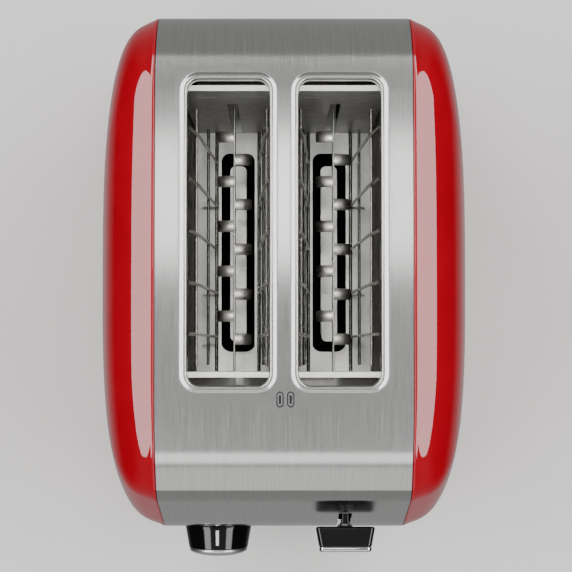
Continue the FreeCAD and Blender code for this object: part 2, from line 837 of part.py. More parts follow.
def make_magnet_core():
    y0 = magnet_middle_y() - magnet_depth / 2
    y1 = y0 + magnet_depth
    x0 = magnet_x - magnet_width / 2
    x1 = magnet_x + magnet_width / 2
    top = floor_z + magnet_height
    base = block(x0, x1, y0, y1, floor_z, floor_z + magnet_base)
    left = block(x0, x0 + magnet_leg, y0, y1, floor_z, top)
    right = block(x1 - magnet_leg, x1, y0, y1, floor_z, top)
    return joined([base, left, right])


def make_magnet_coil():
    y0 = magnet_middle_y() - magnet_depth / 2
    y1 = y0 + magnet_depth
    x1 = magnet_x + magnet_width / 2
    x0 = x1 - magnet_leg
    z0 = floor_z + magnet_base
    z1 = floor_z + magnet_height - coil_top_gap
    outer = block(x0 - coil_wall, x1 + coil_wall, y0 - coil_wall, y1 + coil_wall, z0, z1)
    upright = [edge for edge in outer.Edges if edge.BoundBox.ZLength > z1 - z0 - 0.01]
    return outer.makeFillet(coil_corner_radius, upright).cut(block(x0, x1, y0, y1, z0, z1))


def make_keeper():
    front = carriage_y - carriage_thickness
    reach = coil_clearance + coil_wall + magnet_depth
    return block(magnet_x - magnet_width / 2, magnet_x + magnet_width / 2, front - reach, front,
                 keeper_z, keeper_z + keeper_thickness)


def make_control_board():
    return block(board_left, board_right, board_y, board_y + board_sheet, board_bottom_z, board_top_z)


def make_board_parts():
    back = board_y + board_sheet
    parts = []
    for left, bottom, width, height, depth in board_blocks:
        x = board_left + left
        z = board_bottom_z + bottom
        parts.append(block(x, x + width, back, back + depth, z, z + height))
    x = board_left + capacitor_place[0]
    z = board_bottom_z + capacitor_place[1]
    parts.append(rod(vec(x, back, z), vec(x, back + capacitor_length, z), capacitor_radius))
    return group(parts)


def make_pot():
    y1 = board_y
    y0 = board_y - pot_depth
    body = rod(vec(knob_x, y0, knob_z), vec(knob_x, y1, knob_z), pot_radius)
    return body.cut(rod(vec(knob_x, y0 - 1, knob_z), vec(knob_x, y0 + pot_bore_depth, knob_z),
                        pot_shaft_radius + guide_clearance))


def make_pot_shaft():
    y0 = board_y - pot_depth + pot_bore_depth - pot_end_gap
    y1 = front_y - knob_back_gap - knob_depth + knob_shell
    return rod(vec(knob_x, y0, knob_z), vec(knob_x, y1, knob_z), pot_shaft_radius)


# A truncated cone along -Y from y_back to y_front
def taper(x, z, y_back, y_front, back_radius, front_radius):
    return Part.makeCone(back_radius, front_radius, y_back - y_front, vec(x, y_back, z), vec(0, -1, 0))


def make_knob():
    back = front_y - knob_back_gap
    front = back - knob_depth
    body = taper(knob_x, knob_z, back, front, knob_back_radius, knob_front_radius)
    hollow = taper(knob_x, knob_z, back, front + knob_shell, knob_back_radius - knob_shell,
                   knob_front_radius - knob_shell)
    hub = rod(vec(knob_x, back, knob_z), vec(knob_x, front + knob_shell, knob_z),
              pot_shaft_radius + knob_hub_wall)
    bore = rod(vec(knob_x, back + 1, knob_z), vec(knob_x, front + knob_shell, knob_z), pot_shaft_radius)
    return joined([body.cut(hollow), hub]).cut(bore)


def make_knob_cap():
    base = front_y - knob_back_gap - knob_depth
    rise = knob_cap_rise
    lip = rod(vec(knob_x, base, knob_z), vec(knob_x, base - knob_cap_lip, knob_z), knob_front_radius)
    chord = knob_front_radius
    dome_rise = rise - knob_cap_lip
    dome_radius = (chord ** 2 + dome_rise ** 2) / (2 * dome_rise)
    centre = vec(knob_x, base - rise + dome_radius, knob_z)
    ball = Part.makeSphere(dome_radius, centre)
    keep = rod(vec(knob_x, base - knob_cap_lip, knob_z), vec(knob_x, base - rise - 1, knob_z), chord)
    return joined([lip, ball.common(keep)])


def make_knob_pointer():
    back = front_y - knob_back_gap - pointer_start
    bar = block(knob_x - pointer_width / 2, knob_x + pointer_width / 2, back - pointer_length, back,
                knob_z, knob_z + knob_back_radius + pointer_height)
    reach = front_y - knob_back_gap
    body = taper(knob_x, knob_z, reach, reach - knob_depth, knob_back_radius, knob_front_radius)
    skin = taper(knob_x, knob_z, reach, reach - knob_depth, knob_back_radius + pointer_height,
                 knob_front_radius + pointer_height)
    return bar.cut(body).common(skin)


def make_knob_bezel():
    ring = taper(knob_x, knob_z, front_y, front_y - bezel_depth, bezel_radius,
                 bezel_radius - knob_bezel_draft)
    outer = [edge for edge in ring.Edges if edge.BoundBox.YMax < front_y - bezel_depth + 0.01]
    hole = rod(vec(knob_x, front_y + 1, knob_z), vec(knob_x, front_y - 2 * bezel_depth, knob_z),
               bezel_inner_radius)
    return ring.makeFillet(bezel_edge_radius, outer).cut(hole)


def make_button():
    front = front_y - button_reach
    inside = front_y + band_sheet + button_sheet_gap
    flange_end = inside + button_flange_sheet
    cap = rod(vec(button_x, front, button_z), vec(button_x, flange_end, button_z), button_radius)
    edge = [item for item in cap.Edges if item.BoundBox.YMax < front + 0.01]
    cap = cap.makeFillet(button_edge_radius, edge)
    flange = rod(vec(button_x, inside, button_z), vec(button_x, flange_end, button_z), button_flange_radius)
    stem_end = board_y - switch_size / 2 - plunger_length - button_travel - stem_gap
    stem = rod(vec(button_x, inside, button_z), vec(button_x, stem_end, button_z), button_stem_radius)
    return joined([cap, flange, stem])


def make_button_bezel():
    ring = rod(vec(button_x, front_y, button_z), vec(button_x, front_y - button_bezel_depth, button_z),
               button_bezel_radius)
    outer = [edge for edge in ring.Edges if edge.BoundBox.YMax < front_y - button_bezel_depth + 0.01]
    hole = rod(vec(button_x, front_y + 1, button_z), vec(button_x, front_y - 5, button_z),
               button_radius + button_clearance)
    return ring.makeFillet(button_bezel_edge, outer).cut(hole)


def make_button_switch():
    half = switch_size / 2
    body = block(button_x - half, button_x + half, board_y - half, board_y, button_z - half, button_z + half)
    tip = board_y - half - plunger_length
    plunger = rod(vec(button_x, board_y - half, button_z), vec(button_x, tip, button_z), plunger_radius)
    return joined([body, plunger])


def make_mains_switch():
    rear = carriage_y - mains_switch_gap
    return block(mains_switch_x, mains_switch_x + mains_switch_width, rear - mains_switch_depth, rear,
                 floor_z, floor_z + mains_switch_height)


def make_gland():
    flange = rod(vec(gland_x, rear_y, gland_z), vec(gland_x, rear_y + gland_reach, gland_z),
                 gland_flange_radius)
    outer = [edge for edge in flange.Edges if edge.BoundBox.YMin > rear_y + gland_reach - 0.01]
    body = rod(vec(gland_x, rear_y - gland_inner_length, gland_z), vec(gland_x, rear_y, gland_z),
               gland_body_radius)
    bore = rod(vec(gland_x, rear_y - gland_inner_length - 1, gland_z),
               vec(gland_x, rear_y + gland_reach + 1, gland_z), gland_bore_radius)
    return joined([flange.makeFillet(gland_edge_radius, outer), body]).cut(bore)


def make_gland_nut():
    inside = rear_y - band_sheet
    ring = rod(vec(gland_x, inside - nut_depth, gland_z), vec(gland_x, inside, gland_z),
               gland_body_radius + nut_wall)
    hole = rod(vec(gland_x, inside - nut_depth - 1, gland_z), vec(gland_x, inside + 1, gland_z),
               gland_body_radius)
    return ring.cut(hole)


def make_terminal_block():
    rear = slot_y + floor_rear_reach - terminal_gap
    return block(gland_x - terminal_width / 2, gland_x + terminal_width / 2, rear - terminal_depth, rear,
                 floor_z, floor_z + terminal_height)


export("steel_band", make_steel_band())
for side_name, side in (("left", -1), ("right", 1)):
    export("side_cover_" + side_name, make_cover(side))
    export("chamber_side_" + side_name, make_side_frame(side))
    slot_x = side * slot_half_spacing
    export("bread_lifter_" + side_name, make_lifter(slot_x))
    for wall_name, out in (("outer", side), ("inner", -side)):
        board, ribbon = make_heater(slot_x + out * heater_offset)
        export("heater_board_" + side_name + "_" + wall_name, board)
        export("heater_ribbon_" + side_name + "_" + wall_name, ribbon)
        export("bread_guard_" + side_name + "_" + wall_name, make_guard(slot_x, out))
    for end_name, foot_y in (("front", front_y + foot_in_front), ("rear", rear_y - foot_in_rear)):
        export("foot_" + end_name + "_" + side_name, make_foot(side * foot_in_x, foot_y))

export("base_pan", make_base_pan())
export("base_screws", group(base_screw_solids()))
export("crumb_tray", make_crumb_tray())
export("crumb_tray_handle", make_tray_handle())
export("chamber_floor", make_chamber_floor())
export("floor_screws", group(floor_screw_solids()))
export("chamber_end_front", make_end_plate(front_plate_y - frame_sheet, front_plate_y,
                                           front_plate_y, front_plate_y + end_hem_width))
export("chamber_end_rear", make_end_plate(rear_plate_y, rear_plate_y + frame_sheet,
                                          rear_plate_y - end_hem_width, rear_plate_y))
export("carriage", make_carriage())
export("guide_rod", make_guide_rod())
export("guide_bracket", make_guide_bracket())
export("lift_spring", make_lift_spring())
export("lever_arm", make_lever_arm())
export("lever_head", make_lever_head())
export("lever_plate", make_lever_plate())
export("magnet_core", make_magnet_core())
export("magnet_coil", make_magnet_coil())
export("magnet_keeper", make_keeper())
export("control_board", make_control_board())
export("board_parts", make_board_parts())
export("browning_pot", make_pot())
export("browning_shaft", make_pot_shaft())
export("browning_knob", make_knob())
export("knob_cap", make_knob_cap())
export("knob_pointer", make_knob_pointer())
export("knob_bezel", make_knob_bezel())
export("front_button", make_button())
export("button_bezel", make_button_bezel())
export("button_switch", make_button_switch())
export("mains_switch", make_mains_switch())
export("cord_gland", make_gland())
export("gland_nut", make_gland_nut())
export("terminal_block", make_terminal_block())
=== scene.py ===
import json
import math

import bpy
import numpy as np
from mathutils import Matrix, Vector

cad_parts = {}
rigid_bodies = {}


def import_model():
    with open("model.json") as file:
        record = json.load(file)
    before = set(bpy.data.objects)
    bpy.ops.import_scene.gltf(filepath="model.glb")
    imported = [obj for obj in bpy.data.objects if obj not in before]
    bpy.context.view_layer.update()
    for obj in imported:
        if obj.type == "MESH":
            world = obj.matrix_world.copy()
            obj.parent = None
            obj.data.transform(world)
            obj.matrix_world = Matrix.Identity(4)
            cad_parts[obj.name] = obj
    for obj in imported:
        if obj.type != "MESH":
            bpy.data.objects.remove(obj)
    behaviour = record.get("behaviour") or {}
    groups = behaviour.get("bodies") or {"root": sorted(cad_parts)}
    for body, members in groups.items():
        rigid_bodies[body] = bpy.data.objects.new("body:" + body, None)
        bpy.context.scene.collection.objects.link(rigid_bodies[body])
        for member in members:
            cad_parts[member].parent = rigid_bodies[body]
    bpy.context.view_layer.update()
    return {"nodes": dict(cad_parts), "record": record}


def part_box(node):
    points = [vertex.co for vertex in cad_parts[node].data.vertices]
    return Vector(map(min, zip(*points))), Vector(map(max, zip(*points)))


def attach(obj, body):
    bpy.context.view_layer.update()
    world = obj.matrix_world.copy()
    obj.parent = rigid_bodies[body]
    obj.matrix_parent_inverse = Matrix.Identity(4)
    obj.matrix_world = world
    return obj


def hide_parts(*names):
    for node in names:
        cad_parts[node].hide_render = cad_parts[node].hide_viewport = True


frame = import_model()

mm = 0.001
print("frame loaded", len(frame["nodes"]), "nodes")


# Small tools
def hexColour(code):  # sRGB hex to linear RGBA
    parts = np.array([int(code[i:i + 2], 16) for i in (1, 3, 5)]) / 255
    linear = np.where(parts <= 0.04045, parts / 12.92, ((parts + 0.055) / 1.055) ** 2.4)
    return (*linear.tolist(), 1.0)


def addNode(material, kind, settings=None, links=None):  # one shader node with its settings and links
    node = material.node_tree.nodes.new(kind)
    for key, value in (settings or {}).items():
        if isinstance(key, int) or key in node.inputs:
            node.inputs[key].default_value = value
        else:
            setattr(node, key, value)
    for key, source in (links or {}).items():
        material.node_tree.links.new(source, node.inputs[key])
    return node


def newMaterial(name, settings):  # a Principled surface; returns the material and its shader
    material = bpy.data.materials.new(name)
    material.use_nodes = True
    shader = material.node_tree.nodes["Principled BSDF"]
    for key, value in settings.items():
        shader.inputs[key].default_value = value
    return material, shader


def ramp(node, stops):  # colour stops as (position, hex)
    band = node.color_ramp
    while len(band.elements) < len(stops):
        band.elements.new(0.5)
    for element, (place, code) in zip(band.elements, stops):
        element.position = place
        element.color = hexColour(code)
    return node


def joinParts(parts):  # several (points, faces) made one
    points, faces, start = [], [], 0
    for somePoints, someFaces in parts:
        points.append(somePoints)
        faces.append(someFaces + start)
        start += len(somePoints)
    return np.concatenate(points), np.concatenate(faces)


def makePiece(name, points, faces, material, body, slot, replaced=(), sharp=40, grain=None):
    # quads (a repeated last corner makes a triangle) in millimetres, put on a CAD body
    mesh = bpy.data.meshes.new(name)
    # points within a micron are one point, unused points go, and a face keeps only its different corners
    key, first, same = np.unique(np.round(points, 3), axis=0, return_index=True, return_inverse=True)
    used, faces = np.unique(same.reshape(-1)[faces], return_inverse=True)
    first = first[used]
    corners = [list(dict.fromkeys(face)) for face in faces.reshape(-1, 4).tolist()]
    mesh.from_pydata((points[first] * mm).tolist(), [], [face for face in corners if len(face) > 2])
    mesh.validate()
    mesh.polygons.foreach_set("use_smooth", np.ones(len(mesh.polygons), bool))
    mesh.set_sharp_from_angle(angle=math.radians(sharp))
    if grain is not None:  # where each point lies on the flat sheet, for the direction of the grain
        layer = mesh.uv_layers.new(name="grain")
        loopPoint = np.zeros(len(mesh.loops), int)
        mesh.loops.foreach_get("vertex_index", loopPoint)
        layer.data.foreach_set("uv", grain[first[loopPoint]].astype(float).ravel())
    piece = bpy.data.objects.new(name, mesh)
    bpy.context.scene.collection.objects.link(piece)
    piece.data.materials.append(material)
    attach(piece, body)
    if replaced:
        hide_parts(*replaced)
    return piece


def gridFaces(rows, columns, closed=False, flip=False):
    # quads between rows of points; closed joins each row's ends
    across = np.arange(columns if closed else columns - 1)
    along = np.arange(rows - 1)[:, None] * columns
    nextOne = (across + 1) % columns
    above = along + columns
    quads = np.stack([along + across, along + nextOne, above + nextOne, above + across], -1).reshape(-1, 4)
    return quads[:, ::-1] if flip else quads


def closedPair(outer, inner, faces):
    # the inner skin is the outer turned over, and strips between them close every free edge
    pairs = np.stack([faces, np.roll(faces, -1, 1)], -1).reshape(-1, 2)
    unused, place, times = np.unique(np.sort(pairs, 1), axis=0, return_index=True, return_counts=True)
    free = pairs[place[times == 1]]
    strips = np.column_stack([free[:, 1], free[:, 0], free[:, 0] + len(outer), free[:, 1] + len(outer)])
    return np.concatenate([outer, inner]), np.concatenate([faces, faces[:, ::-1] + len(outer), strips])


def atHeight(flat, z):
    return np.column_stack([flat, np.full(len(flat), z)])


def capped(rows, flip=False):  # matching loops of points made a solid, closed at both ends by a point
    count = len(rows[0])
    ends = [np.repeat(row.mean(0)[None], count, 0) for row in (rows[0], rows[-1])]
    return np.concatenate([ends[0], *rows, ends[1]]), gridFaces(len(rows) + 2, count, closed=True, flip=flip)


def roundedRing(width, height, radius, steps=8):  # points round a rounded rectangle, anticlockwise
    turns = np.concatenate([np.linspace(q, q + 1, steps) * math.pi / 2 for q in range(4)])
    signs = np.repeat([(1, 1), (-1, 1), (-1, -1), (1, -1)], steps, 0)
    arcs = radius * np.stack([np.cos(turns), np.sin(turns)], -1)
    return signs * [width / 2 - radius, height / 2 - radius] + arcs


def lathe(profile, centre, axis, steps=96):
    # each (radius, height) of the profile goes round the axis: centre + axis*height + radius*(cos, sin)
    profile = np.array(profile, float)
    axis = np.array(axis, float)
    side = np.array([0, 0, 1.0]) if abs(axis[2]) < 0.5 else np.array([1.0, 0, 0])
    other = np.cross(axis, side)
    turn = np.linspace(0, 2 * math.pi, steps, endpoint=False)
    ring = np.cos(turn)[:, None] * side + np.sin(turn)[:, None] * other
    points = np.array(centre) + profile[:, 1, None, None] * axis + profile[:, 0, None, None] * ring
    return points.reshape(-1, 3), gridFaces(len(profile), steps, closed=True, flip=True)


def arcPath(corners, radii, step=0.4):
    # points along straight runs with a tangent arc at each inner corner
    corners = np.array(corners, float)
    pieces = [corners[:1]]
    for corner, back, ahead, radius in zip(corners[1:-1], corners[:-2], corners[2:], radii):
        u = (back - corner) / np.linalg.norm(back - corner)
        v = (ahead - corner) / np.linalg.norm(ahead - corner)
        half = math.acos(np.clip(u @ v, -1, 1)) / 2
        middle = corner + (u + v) / np.linalg.norm(u + v) * radius / math.sin(half)
        first = corner + u * radius / math.tan(half) - middle
        last = corner + v * radius / math.tan(half) - middle
        count = max(6, int(radius * (math.pi - 2 * half) / step))
        share = np.linspace(0, 1, count)[:, None]
        sweep = math.pi - 2 * half
        blend = (np.sin((1 - share) * sweep) * first + np.sin(share * sweep) * last) / math.sin(sweep)
        pieces.append(middle + blend)
    pieces.append(corners[-1:])
    return np.concatenate(pieces)


def box(node):  # a CAD node's corners in millimetres
    low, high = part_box(node)
    return np.array(low) / mm, np.array(high) / mm


def middleOf(node):
    low, high = box(node)
    return (low + high) / 2


# Places from the frame
bandLow, bandHigh = box("steel_band")
coverLow, coverHigh = box("side_cover_right")
frontY, rearY = bandLow[1], bandHigh[1]
halfBand = bandHigh[0]
topZ = coverHigh[2]
slotX = middleOf("bread_lifter_right")[0]
slotAhead = 1.0  # the slots' middle lies this far ahead of the chamber's
slotY = (box("chamber_end_front")[1][1] + box("chamber_end_rear")[0][1]) / 2 - slotAhead
print("slot middle", slotX, slotY, "band", bandLow, bandHigh)


# Brushed 304 stainless: fine scratches from front to rear, so highlights spread across the band
def makeBrushedStainless():
    material, shader = newMaterial("brushedStainless", {"Metallic": 1.0, "Anisotropic": 0.97})
    place = addNode(material, "ShaderNodeTexCoord")
    grainMap = addNode(material, "ShaderNodeMapping", {"Scale": (5200, 260, 260)},
                       {"Vector": place.outputs["Object"]})
    grain = addNode(material, "ShaderNodeTexNoise", {"Scale": 1.0, "Detail": 3.0, "Roughness": 0.65},
                    {"Vector": grainMap.outputs["Vector"]})
    longMap = addNode(material, "ShaderNodeMapping", {"Scale": (2400, 40, 40)},
                      {"Vector": place.outputs["Object"]})
    longGrain = addNode(material, "ShaderNodeTexNoise", {"Scale": 1.0, "Detail": 2.0},
                        {"Vector": longMap.outputs["Vector"]})
    both = addNode(material, "ShaderNodeMath", {"operation": "ADD"},
                   {0: grain.outputs["Fac"], 1: longGrain.outputs["Fac"]})
    half = addNode(material, "ShaderNodeMath", {"operation": "MULTIPLY", 1: 0.5}, {0: both.outputs[0]})
    tone = ramp(addNode(material, "ShaderNodeValToRGB", None, {"Fac": half.outputs[0]}),
                [(0.3, "#b9b8b6"), (0.7, "#cdccca")])
    rough = addNode(material, "ShaderNodeMapRange",
                    {"From Min": 0.35, "From Max": 0.65, "To Min": 0.18, "To Max": 0.22},
                    {"Value": half.outputs[0]})
    bump = addNode(material, "ShaderNodeBump", {"Strength": 0.05, "Distance": 0.00003},
                   {"Height": half.outputs[0]})
    tangent = addNode(material, "ShaderNodeTangent", {"direction_type": "UV_MAP", "uv_map": "grain"})
    links = material.node_tree.links
    links.new(tone.outputs["Color"], shader.inputs["Base Color"])
    links.new(rough.outputs["Result"], shader.inputs["Roughness"])
    links.new(bump.outputs["Normal"], shader.inputs["Normal"])
    links.new(tangent.outputs["Tangent"], shader.inputs["Tangent"])
    return material


# Baked gloss enamel over sheet: deep red under a clear, slightly rippled skin
def makeRedEnamel():
    material, shader = newMaterial("redEnamel", {
        "Roughness": 0.4, "Specular IOR Level": 0.0,
        "Coat Weight": 1.0, "Coat Roughness": 0.03, "Coat IOR": 1.7})
    place = addNode(material, "ShaderNodeTexCoord")
    wave = addNode(material, "ShaderNodeTexNoise", {"Scale": 45.0, "Detail": 2.0},
                   {"Vector": place.outputs["Object"]})
    tone = ramp(addNode(material, "ShaderNodeValToRGB", None, {"Fac": wave.outputs["Fac"]}),
                [(0.3, "#920013"), (0.7, "#9a0016")])
    peel = addNode(material, "ShaderNodeTexNoise", {"Scale": 420.0, "Detail": 1.0},
                   {"Vector": place.outputs["Object"]})
    bump = addNode(material, "ShaderNodeBump", {"Strength": 0.03, "Distance": 0.0002},
                   {"Height": peel.outputs["Fac"]})
    links = material.node_tree.links
    links.new(tone.outputs["Color"], shader.inputs["Base Color"])
    links.new(bump.outputs["Normal"], shader.inputs["Coat Normal"])
    return material


# A plain finish with slight variation: colours from a noise, and roughness and bump from the same
def makeVaried(name, dark, light, scale, settings, roughRange, bumpStrength, stretch=(1, 1, 1)):
    material, shader = newMaterial(name, settings)
    place = addNode(material, "ShaderNodeTexCoord")
    spread = addNode(material, "ShaderNodeMapping", {"Scale": stretch}, {"Vector": place.outputs["Object"]})
    noise = addNode(material, "ShaderNodeTexNoise", {"Scale": scale, "Detail": 4.0},
                    {"Vector": spread.outputs["Vector"]})
    tone = ramp(addNode(material, "ShaderNodeValToRGB", None, {"Fac": noise.outputs["Fac"]}),
                [(0.3, dark), (0.7, light)])
    rough = addNode(material, "ShaderNodeMapRange",
                    {"From Min": 0.3, "From Max": 0.7, "To Min": roughRange[0], "To Max": roughRange[1]},
                    {"Value": noise.outputs["Fac"]})
    bump = addNode(material, "ShaderNodeBump", {"Strength": bumpStrength, "Distance": 0.0001},
                   {"Height": noise.outputs["Fac"]})
    links = material.node_tree.links
    links.new(tone.outputs["Color"], shader.inputs["Base Color"])
    links.new(rough.outputs["Result"], shader.inputs["Roughness"])
    links.new(bump.outputs["Normal"], shader.inputs["Normal"])
    return material


brushedStainless = makeBrushedStainless()
redEnamel = makeRedEnamel()
# Polished ABS: near black, sharp reflections
glossAbs = makeVaried("polishedBlackAbs", "#060607", "#0b0b0c", 900, {"IOR": 1.53}, (0.07, 0.12), 0.02)
# Bright chrome plate: mirror with a faint haze
brightChrome = makeVaried("brightChromePlate", "#dcdcdc", "#efefee", 300, {"Metallic": 1.0},
                          (0.06, 0.11), 0.01)
# Spun aluminium: soft satin disc
spunAluminium = makeVaried("spunAluminium", "#d2d2d1", "#e6e6e5", 700, {"Metallic": 1.0}, (0.3, 0.42), 0.06)
# Aluminised steel sheet: bright with a soft mottled spangle
aluminisedSteel = makeVaried("aluminisedSteel", "#d2d1cc", "#efeeea", 160, {"Metallic": 1.0},
                             (0.38, 0.5), 0.12)
# Heat-tinted pressed steel: greyer and a little yellow
pressedSteel = makeVaried("pressedSteel", "#b4b2ac", "#d6d4cc", 240, {"Metallic": 1.0}, (0.26, 0.42), 0.12)
# Mica sheet: brown, flaky and half matt
micaSheet = makeVaried("micaSheet", "#2b251d", "#4a4030", 220, {"IOR": 1.58, "Specular IOR Level": 0.4},
                       (0.35, 0.6), 0.3)
# Oxidised nichrome ribbon: dark grey with a dull sheen
nichromeRibbon = makeVaried("nichromeRibbon", "#4b4744", "#7a736b", 500, {"Metallic": 1.0}, (0.35, 0.5), 0.1)
# Nickel-plated drawn wire: bright, slightly drawn along its length
nickelWire = makeVaried("nickelWire", "#b9b6ae", "#dedbd2", 600, {"Metallic": 1.0}, (0.16, 0.28), 0.05)
# Ground silver steel: clean round bar
silverSteel = makeVaried("silverSteel", "#a9a9a8", "#c9c9c8", 800, {"Metallic": 1.0}, (0.18, 0.26), 0.03)
# Glass-filled nylon: black, fine spark-eroded texture
sparkNylon = makeVaried("sparkErodedNylon", "#0d0d0e", "#161617", 1800, {"IOR": 1.53}, (0.5, 0.65), 0.25)
# Nitrile rubber: dull black
nitrileRubber = makeVaried("nitrileRubber", "#111111", "#1b1b1a", 700, {"IOR": 1.52}, (0.75, 0.9), 0.2)
# Pad-printed ink
whiteInk = makeVaried("whitePrintInk", "#e2e2df", "#efefec", 900, {"IOR": 1.5}, (0.4, 0.5), 0.03)
blackInk = makeVaried("blackPrintInk", "#0a0a0b", "#141415", 900, {"IOR": 1.5}, (0.45, 0.55), 0.03)
# Enamelled copper winding
enamelledCopper = makeVaried("enamelledCopper", "#7a3a1a", "#a85a2c", 900, {"Metallic": 1.0},
                             (0.25, 0.4), 0.2, (1, 1, 6))
# Fibre-glass board under green resist
resistBoard = makeVaried("greenResistBoard", "#0d3b1f", "#15532d", 260, {"IOR": 1.55}, (0.35, 0.5), 0.08)
# Black moulded component body
componentBody = makeVaried("phenolicComponent", "#17181a", "#24262a", 600, {"IOR": 1.55}, (0.45, 0.6), 0.1)
# Painted shade: a brown-black, dull layer that stands in for the shadow in each slot's gutter
paintedGutterShade = makeVaried("paintedGutterShadeFinish", "#0b0908", "#1d1712", 300, {"IOR": 1.5, "Specular IOR Level": 0.2},
                       (0.6, 0.8), 0.3)
# Zinc-plated screw
zincPlate = makeVaried("zincPlate", "#9c9c94", "#c2c2ba", 500, {"Metallic": 1.0}, (0.3, 0.45), 0.08)
print("materials made")

slotFinish = {
    "brushed_stainless": brushedStainless, "red_enamel": redEnamel, "black_base": sparkNylon,
    "foot_rubber": nitrileRubber, "chamber_steel": aluminisedSteel, "lifter_steel": pressedSteel,
    "mica": micaSheet, "heater_ribbon": nichromeRibbon, "guard_wire": nickelWire,
    "polished_rod": silverSteel, "screw_zinc": zincPlate, "gloss_black": glossAbs,
    "chrome_trim": brightChrome, "satin_silver": spunAluminium, "white_mark": whiteInk,
    "coil_copper": enamelledCopper, "circuit_board": resistBoard, "dark_component": componentBody,
}
for part in frame["record"]["subparts"]:
    node = frame["nodes"][part["node"]]
    node.data.materials.clear()
    node.data.materials.append(slotFinish[part["material_slot"]])


# Steel band: front, top and rear from one bent sheet; sizes in millimetres
band = {
    "bottomZ": bandLow[2], "breakZ": 118.0, "frontShoulder": (20.75, 17.4), "frontTop": 49.7,
    "rearTop": 8.95, "bendRadii": (120, 18, 96, 40, 120), "sheet": 0.8,
    "slotWidth": 38.1, "slotLength": 143.0, "slotCorner": 5.5, "leverSlotLow": 79.9, "leverSlotHigh": 152.5,
    "leverSlotWidth": 6.4, "trayHalf": 52.0, "trayTop": 21.8,
    "cellMargin": 6.9, "leverCell": 9, "leverCellEnd": 8,  # sheet cells round the slots
}
# distance out from the slot's edge and height over the sheet, outside then inside, from the lip to the flat
rimShape = [(0.0, -3.5, 0.8, -3.5), (0.0, -1.6, 0.8, -1.6), (0.0, -0.6, 0.8, -0.9), (0.1, -0.1, 0.85, -0.6),
            (0.35, 0.4, 1.0, -0.35), (0.75, 0.75, 1.2, -0.15), (1.3, 0.88, 1.5, -0.05), (1.9, 0.8, 1.9, -0.1),
            (2.5, 0.55, 2.4, -0.3), (3.0, 0.28, 2.9, -0.5), (3.45, 0.1, 3.4, -0.68), (4.0, 0.02, 4.0, -0.78),
            (4.6, 0.0, 4.6, -0.8)]
outlineCorners = [
    (frontY, band["bottomZ"]), (frontY, band["breakZ"]),
    (frontY + band["frontShoulder"][0], topZ - band["frontShoulder"][1]), (frontY + band["frontTop"], topZ),
    (rearY - band["rearTop"], topZ), (rearY, band["breakZ"]), (rearY, band["bottomZ"]),
]
outline = arcPath(outlineCorners, band["bendRadii"])
outlineRun = np.concatenate([[0], np.cumsum(np.linalg.norm(np.diff(outline, axis=0), axis=1))])
keep = np.concatenate([[True], np.diff(outlineRun) > 1e-6])
outline, outlineRun = outline[keep], outlineRun[keep]
outlineTangent = np.gradient(outline, outlineRun, axis=0)
outlineTangent /= np.linalg.norm(outlineTangent, axis=1, keepdims=True)


topMargin = 15  # the outline within this depth is its top
hairline = 0.01  # a slot's end arcs stop this short of half its width
grainScale = 0.01  # grain coordinates against millimetres


# Where a point of the flat sheet (x across, s along the outline, n outwards) lands when the sheet is bent
def bendSheet(x, s, n):
    y = np.interp(s, outlineRun, outline[:, 0])
    z = np.interp(s, outlineRun, outline[:, 1])
    ty = np.interp(s, outlineRun, outlineTangent[:, 0])
    tz = np.interp(s, outlineRun, outlineTangent[:, 1])
    return np.stack([x, y - tz * n, z + ty * n], -1)


def runAtTop(y):  # distance along the outline where the top passes y
    top = outline[:, 1] > topZ - topMargin
    return np.interp(y, outline[top, 0], outlineRun[top])


def stepped(*stops):  # even steps between neighbouring stops, given as place, step, place, step, place
    runs = [np.linspace(low, high, max(2, int(round((high - low) / step)) + 1))
            for low, step, high in zip(stops[:-2:2], stops[1::2], stops[2::2])]
    return np.unique(np.round(np.concatenate(runs), 4))


def holeLoops(acrosses, alongs, ids, cell, hole, rings, start):
    # loops from a rounded slot's edge out to the edge of its cell, which uses the sheet's own grid points
    (i0, i1, j0, j1), (cx, cs, width, length, radius) = cell, hole
    ring = [(i, j0) for i in range(i0, i1)] + [(i1, j) for j in range(j0, j1)]
    ring += [(i, j1) for i in range(i1, i0, -1)] + [(i0, j) for j in range(j1, j0, -1)]
    ring = np.array(ring)
    edge = np.stack([acrosses[ring[:, 0]], alongs[ring[:, 1]]], -1)
    reach = np.array([width / 2 - radius, length / 2 - radius])
    base = np.array([cx, cs]) + np.clip(edge - [cx, cs], -reach, reach)
    way = (edge - base) / np.linalg.norm(edge - base, axis=1, keepdims=True)
    flat = np.ones(len(edge))
    loops = [np.column_stack([base + way * (radius + out), flat * up,
                              base + way * (radius + innerOut), flat * innerUp])
             for out, up, innerOut, innerUp in rings]
    last = loops[-1]
    for share in (0.3, 0.65):
        between = last[:, :2] + (edge - last[:, :2]) * share
        loops.append(np.column_stack([between, flat * 0.0, between, flat * -band["sheet"]]))
    faces = gridFaces(len(loops), len(edge), closed=True, flip=True) + start
    outer = start + (len(loops) - 1) * len(edge) + np.arange(len(edge))
    grid = ids[ring[:, 1], ring[:, 0]]
    faces = np.concatenate([faces, np.stack([outer, grid, np.roll(grid, -1), np.roll(outer, -1)], -1)])
    return np.concatenate(loops), faces


